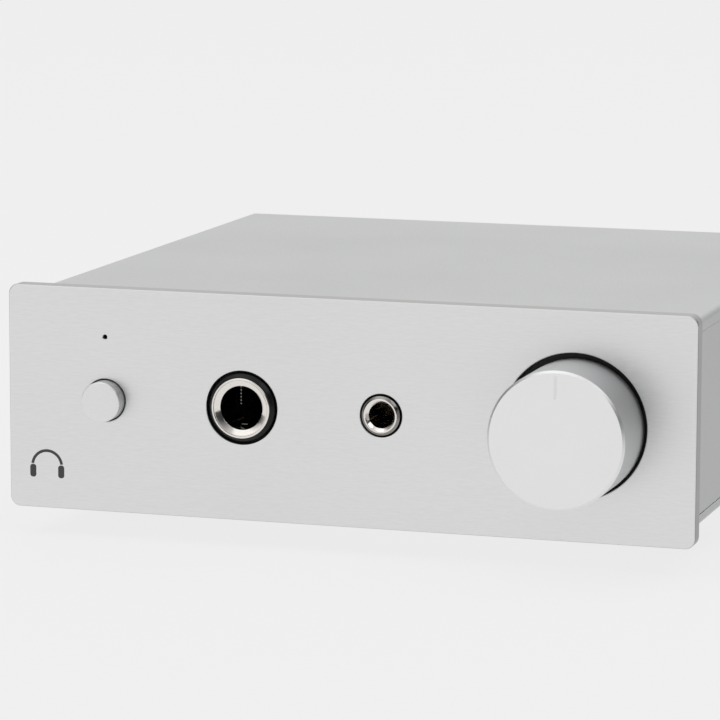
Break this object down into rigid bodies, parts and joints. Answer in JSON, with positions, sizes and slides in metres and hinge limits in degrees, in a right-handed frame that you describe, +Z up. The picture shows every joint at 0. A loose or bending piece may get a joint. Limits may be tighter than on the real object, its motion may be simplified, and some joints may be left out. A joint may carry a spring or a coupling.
{
  "type": "headphone amplifier",
  "caption": "Flat metal desktop amplifier box with a brushed front plate, push button, two headphone sockets and a round volume knob; signal sockets and a supply inlet at the back.",
  "frame": {"origin": "centre of the footprint, on the surface that the feet stand on", "axes": "+X to the right as seen from the front, +Y from the front panel to the back, +Z up"},
  "size_m": [0.103, 0.122, 0.037],
  "materials": {
    "front_aluminium": "horizontally brushed",
    "case_metal": "fine bead-blasted satin",
    "rear_steel": "satin",
    "plated_steel": "zinc plated",
    "black_paint": "satin black",
    "black_screws": "black oxide",
    "brass": "machined",
    "foot_rubber": "matte",
    "board_laminate": "solder mask",
    "knob_aluminium": "fine satin with a polished edge",
    "button_aluminium": "satin",
    "pot_metal": "stamped",
    "pot_carbon": "printed carbon track",
    "contact_metal": "plated spring bronze",
    "black_plastic": "moulded",
    "white_plastic": "moulded",
    "spring_steel": "drawn wire",
    "lamp_body": "moulded",
    "clear_acrylic": "clear",
    "nickel": "bright nickel",
    "capacitor_sleeve": "shrink sleeve",
    "red_plastic": "moulded",
    "chip_black": "moulded",
    "resistor_blue": "lacquer",
    "heatsink_metal": "anodised",
    "relay_case": "moulded"
  },
  "bodies": {
    "case": {"front_panel": "front_aluminium", "inner_front_plate": "black_paint", "front_panel_screws": "black_screws", "front_plate_screws": "black_screws", "left_side_wall": "case_metal", "right_side_wall": "case_metal", "top_cover": "case_metal", "bottom_plate": "case_metal", "rear_panel": "rear_steel", "rear_panel_screws": "black_screws", "cover_pillars": "brass", "rubber_feet": "foot_rubber", "foot_screws": "black_screws", "main_board": "board_laminate", "board_standoffs": "plated_steel", "board_screws": "black_screws", "pot_body": "pot_metal", "pot_rear_cover": "pot_metal", "pot_bushing": "brass", "pot_nut": "plated_steel", "pot_track": "pot_carbon", "switch_body": "black_plastic", "switch_spring": "spring_steel", "power_lamp": "lamp_body", "light_guide": "clear_acrylic", "phone_jack_body": "black_plastic", "phone_jack_ferrule": "nickel", "phone_jack_tip_spring": "contact_metal", "phone_jack_ring_spring": "contact_metal", "phone_jack_sleeve_contact": "contact_metal", "mini_jack_body": "black_plastic", "mini_jack_ferrule": "nickel", "mini_jack_tip_spring": "contact_metal", "mini_jack_ring_spring": "contact_metal", "input_socket_block": "black_plastic", "output_socket_block": "black_plastic", "input_left_shell": "nickel", "input_right_shell": "nickel", "output_left_shell": "nickel", "output_right_shell": "nickel", "socket_insulators": "white_plastic", "socket_centre_contacts": "contact_metal", "socket_block_screws": "black_screws", "dc_inlet_body": "black_plastic", "dc_inlet_pin": "nickel", "reservoir_capacitors": "capacitor_sleeve", "coupling_capacitors": "capacitor_sleeve", "film_capacitors": "red_plastic", "op_amps": "chip_black", "resistors": "resistor_blue", "voltage_regulator": "chip_black", "heatsink": "heatsink_metal", "output_relay": "relay_case"},
    "volume": {"volume_knob": "knob_aluminium", "knob_set_screw": "black_screws", "pot_shaft": "plated_steel", "pot_wiper": "contact_metal"},
    "power": {"power_button": "button_aluminium", "switch_stem": "white_plastic"}
  },
  "joints": [
    {"name": "volume_turn", "type": "hinge", "parent": "case", "child": "volume", "pos_m": [0.0339, -0.056, 0.0202], "axis": [0, 1, 0], "range_deg": [-150, 150]},
    {"name": "power_press", "type": "slide", "parent": "case", "child": "power", "axis": [0, 1, 0], "range_m": [0, 0.0018], "stiffness_N_per_m": 900, "springref_m": -0.0012, "deforming": ["switch_spring"]}
  ]
}
